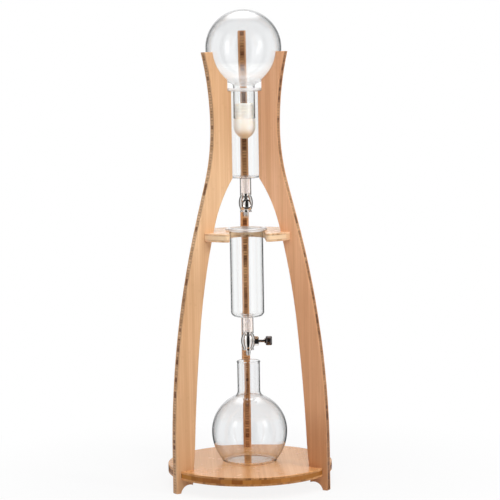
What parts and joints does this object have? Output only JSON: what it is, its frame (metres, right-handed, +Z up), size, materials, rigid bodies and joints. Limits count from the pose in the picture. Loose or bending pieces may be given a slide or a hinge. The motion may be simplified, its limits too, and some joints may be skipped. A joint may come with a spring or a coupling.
{
  "type": "cold drip coffee tower",
  "caption": "Tall cold drip coffee tower: three curved bamboo legs hold a water globe, a reservoir tube, a coffee chamber and a flask, with two needle taps.",
  "frame": {"origin": "on the tower's upright axis, at the level of the feet", "axes": "+Z up; the back leg stands on +Y, the slot of the middle plate opens to -Y, +X to the right seen from the front"},
  "size_m": [0.4099, 0.423, 1.18],
  "materials": {
    "bamboo": "clear lacquered laminated bamboo",
    "clear_glass": "clear borosilicate glass",
    "milky_silicone": "translucent milky silicone",
    "seal_silicone": "translucent grey silicone",
    "polished_steel": "polished stainless steel",
    "chrome": "bright chrome plate"
  },
  "bodies": {
    "frame": {"back_leg": "bamboo", "left_leg": "bamboo", "right_leg": "bamboo", "base_disc": "bamboo", "middle_plate": "bamboo"},
    "reservoir": {"reservoir_tube": "clear_glass", "upper_stem_seal": "seal_silicone", "upper_inlet_tube": "polished_steel", "upper_tap_body": "chrome", "upper_nozzle": "chrome", "upper_packing_ring": "seal_silicone", "upper_gland_nut": "chrome"},
    "globe": {"water_globe": "clear_glass"},
    "stopper": {"globe_stopper": "milky_silicone"},
    "upper_needle": {"upper_spindle": "polished_steel"},
    "upper_knob": {"upper_knob": "chrome"},
    "chamber": {"chamber_tube": "clear_glass", "lower_stem_seal": "seal_silicone", "lower_inlet_tube": "polished_steel", "lower_tap_body": "chrome", "lower_nozzle": "chrome", "lower_packing_ring": "seal_silicone", "lower_gland_nut": "chrome"},
    "lower_needle": {"lower_spindle": "polished_steel"},
    "lower_knob": {"lower_knob": "chrome"},
    "flask": {"coffee_flask": "clear_glass"}
  },
  "joints": [
    {"name": "reservoir_lift", "type": "slide", "parent": "frame", "child": "reservoir", "axis": [0, 0, 1], "range_m": [0, 0.33]},
    {"name": "globe_lift", "type": "slide", "parent": "reservoir", "child": "globe", "axis": [0, 0, 1], "range_m": [0, 0.13]},
    {"name": "stopper_pull", "type": "slide", "parent": "globe", "child": "stopper", "axis": [0, 0, -1], "range_m": [0, 0.045]},
    {"name": "chamber_slide", "type": "slide", "parent": "frame", "child": "chamber", "axis": [0, -1, 0], "range_m": [0, 0.18]},
    {"name": "flask_slide", "type": "slide", "parent": "frame", "child": "flask", "axis": [0, -1, 0], "range_m": [0, 0.2]},
    {"name": "upper_needle_travel", "type": "slide", "parent": "reservoir", "child": "upper_needle", "axis": [0, -1, 0], "range_m": [0, 0.0012]},
    {"name": "upper_knob_turn", "type": "hinge", "parent": "upper_needle", "child": "upper_knob", "pos_m": [0, -0.05, 0.703], "axis": [0, -1, 0], "range_deg": [0, 550]},
    {"name": "lower_needle_travel", "type": "slide", "parent": "chamber", "child": "lower_needle", "axis": [1, 0, 0], "range_m": [0, 0.0012]},
    {"name": "lower_knob_turn", "type": "hinge", "parent": "lower_needle", "child": "lower_knob", "pos_m": [0.05, 0, 0.358], "axis": [1, 0, 0], "range_deg": [0, 550]}
  ],
  "couplings": [
    {"joint": "upper_knob_turn", "follows": "upper_needle_travel", "rad_per_m": 7854},
    {"joint": "lower_knob_turn", "follows": "lower_needle_travel", "rad_per_m": 7854}
  ]
}
